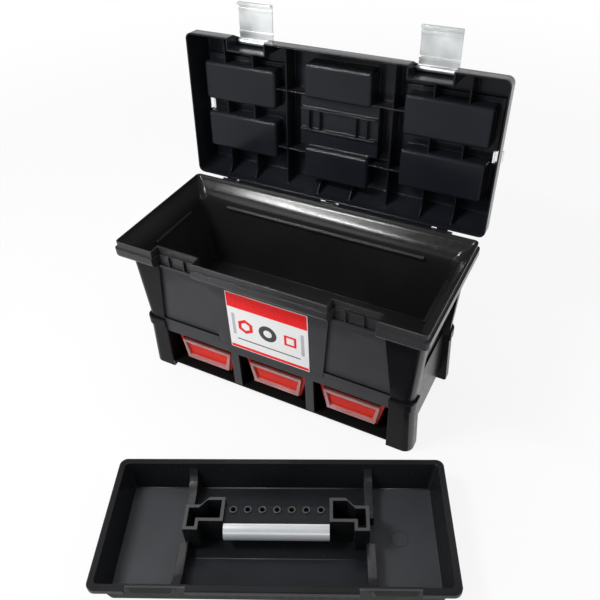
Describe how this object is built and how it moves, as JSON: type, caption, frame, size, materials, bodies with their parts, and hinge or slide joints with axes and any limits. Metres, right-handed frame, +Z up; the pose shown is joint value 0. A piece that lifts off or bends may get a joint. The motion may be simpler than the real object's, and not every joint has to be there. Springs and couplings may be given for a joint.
{
  "type": "portable tool box",
  "caption": "Open plastic tool box with a hinged organiser lid, metal snap latches, small-parts drawers in its base and a tote tray standing in front of it.",
  "frame": {"origin": "on the floor under the middle of the box, with the tray left out of account", "axes": "+X along the box to its right as seen from the front, +Y to the rear, where the lid is hinged, +Z up"},
  "size_m": [0.6927, 0.7553, 0.5948],
  "materials": {
    "black_plastic": "satin, fine grain",
    "fastener_steel": "zinc plated",
    "label_film": "printed film",
    "cover_clear": "clear",
    "latch_metal": "satin anodised",
    "grip_metal": "brushed",
    "drawer_red": "translucent",
    "holder_clear": "clear"
  },
  "bodies": {
    "box": {"tub": "black_plastic", "base_frame": "black_plastic", "base_screws": "fastener_steel", "front_label": "label_film", "lid_hinge_pins": "fastener_steel"},
    "lid": {"lid_shell": "black_plastic", "latch_pin_left": "fastener_steel", "latch_pin_right": "fastener_steel"},
    "handle": {"carry_handle": "black_plastic"},
    "cover_left": {"cover_left": "cover_clear"},
    "cover_right": {"cover_right": "cover_clear"},
    "latch_left": {"latch_left": "latch_metal"},
    "latch_right": {"latch_right": "latch_metal"},
    "tray": {"tray_shell": "black_plastic", "tray_handle": "black_plastic", "tray_grip_plate": "grip_metal"},
    "drawer_left": {"drawer_bin_left": "drawer_red", "drawer_frame_left": "holder_clear"},
    "drawer_centre": {"drawer_bin_centre": "drawer_red", "drawer_frame_centre": "holder_clear"},
    "drawer_right": {"drawer_bin_right": "drawer_red", "drawer_frame_right": "holder_clear"}
  },
  "joints": [
    {"name": "lid_hinge", "type": "hinge", "parent": "box", "child": "lid", "pos_m": [0, 0.1378, 0.2799], "axis": [1, 0, 0], "range_deg": [0, 93.8]},
    {"name": "handle_pivot", "type": "hinge", "parent": "lid", "child": "handle", "pos_m": [0, 0.19012, 0.39017], "axis": [-1, 0, 0], "range_deg": [0, 90]},
    {"name": "cover_left_hinge", "type": "hinge", "parent": "lid", "child": "cover_left", "pos_m": [-0.1164, 0.19802, 0.414], "axis": [0, -0.0663, -0.9978], "range_deg": [0, 100]},
    {"name": "cover_right_hinge", "type": "hinge", "parent": "lid", "child": "cover_right", "pos_m": [0.1164, 0.19802, 0.414], "axis": [0, 0.0663, 0.9978], "range_deg": [0, 100]},
    {"name": "latch_left_pivot", "type": "hinge", "parent": "lid", "child": "latch_left", "pos_m": [-0.16, 0.18871, 0.53188], "axis": [1, 0, 0], "range_deg": [0, 90]},
    {"name": "latch_right_pivot", "type": "hinge", "parent": "lid", "child": "latch_right", "pos_m": [0.16, 0.18871, 0.53188], "axis": [1, 0, 0], "range_deg": [0, 90]},
    {"name": "drawer_left_slide", "type": "slide", "parent": "box", "child": "drawer_left", "axis": [0, -1, 0], "range_m": [0, 0.09]},
    {"name": "drawer_centre_slide", "type": "slide", "parent": "box", "child": "drawer_centre", "axis": [0, -1, 0], "range_m": [0, 0.09]},
    {"name": "drawer_right_slide", "type": "slide", "parent": "box", "child": "drawer_right", "axis": [0, -1, 0], "range_m": [0, 0.09]},
    {"name": "tray_lift", "type": "slide", "parent": "box", "child": "tray", "axis": [0, 0, 1], "range_m": [0, 0.35]}
  ]
}
